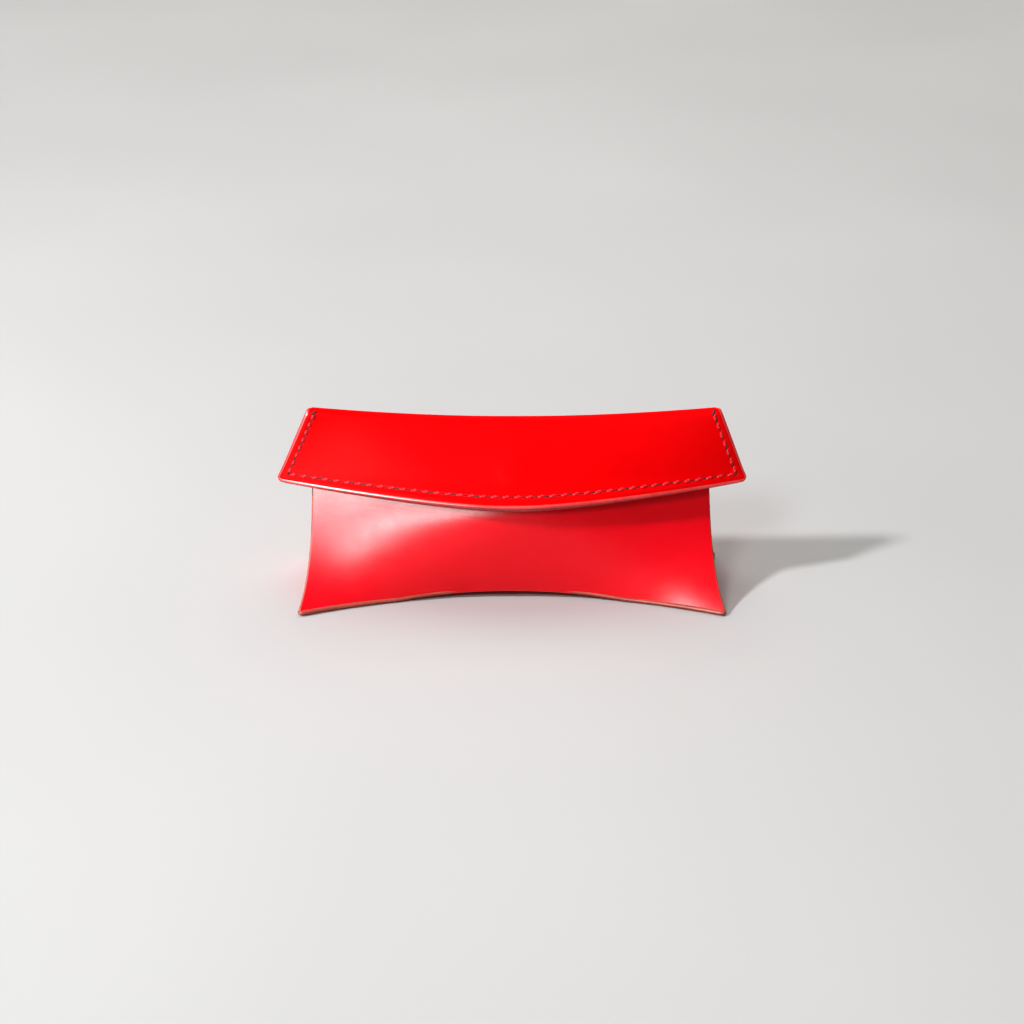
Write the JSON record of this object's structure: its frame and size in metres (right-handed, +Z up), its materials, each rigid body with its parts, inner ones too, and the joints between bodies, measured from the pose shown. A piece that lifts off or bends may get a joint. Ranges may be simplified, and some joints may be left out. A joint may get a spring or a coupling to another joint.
{
  "type": "card holder",
  "caption": "Stiff leather flap pouch on a waisted, arched base, with side gussets and a saddle-stitched flap held shut by hidden magnets.",
  "frame": {"origin": "on the surface it stands on, under the middle of the bounding box", "axes": "+X to the right along the flap, +Y to the back, +Z up; the flap and front panel face -Y"},
  "size_m": [0.1566, 0.044, 0.06],
  "materials": {
    "red_leather": "smooth vegetable-tanned leather, soft satin sheen, burnished cut edges",
    "lining_leather": "thin matt leather, flesh side",
    "thread": "waxed twisted thread",
    "magnet_steel": "plated disc"
  },
  "bodies": {
    "pouch": {"front_panel": "red_leather", "back_panel": "red_leather", "base_panel": "red_leather", "left_gusset": "red_leather", "right_gusset": "red_leather", "body_magnet": "magnet_steel", "magnet_cover": "lining_leather", "left_side_thread": "thread", "right_side_thread": "thread", "front_base_thread": "thread", "back_base_thread": "thread"},
    "flap": {"flap_outer": "red_leather", "flap_lining": "lining_leather", "flap_magnet": "magnet_steel", "flap_thread": "thread"}
  },
  "joints": [
    {"name": "flap_fold", "type": "hinge", "parent": "pouch", "child": "flap", "pos_m": [0, 0.0102, 0.0579], "axis": [-1, 0, 0], "range_deg": [0, 160]}
  ]
}
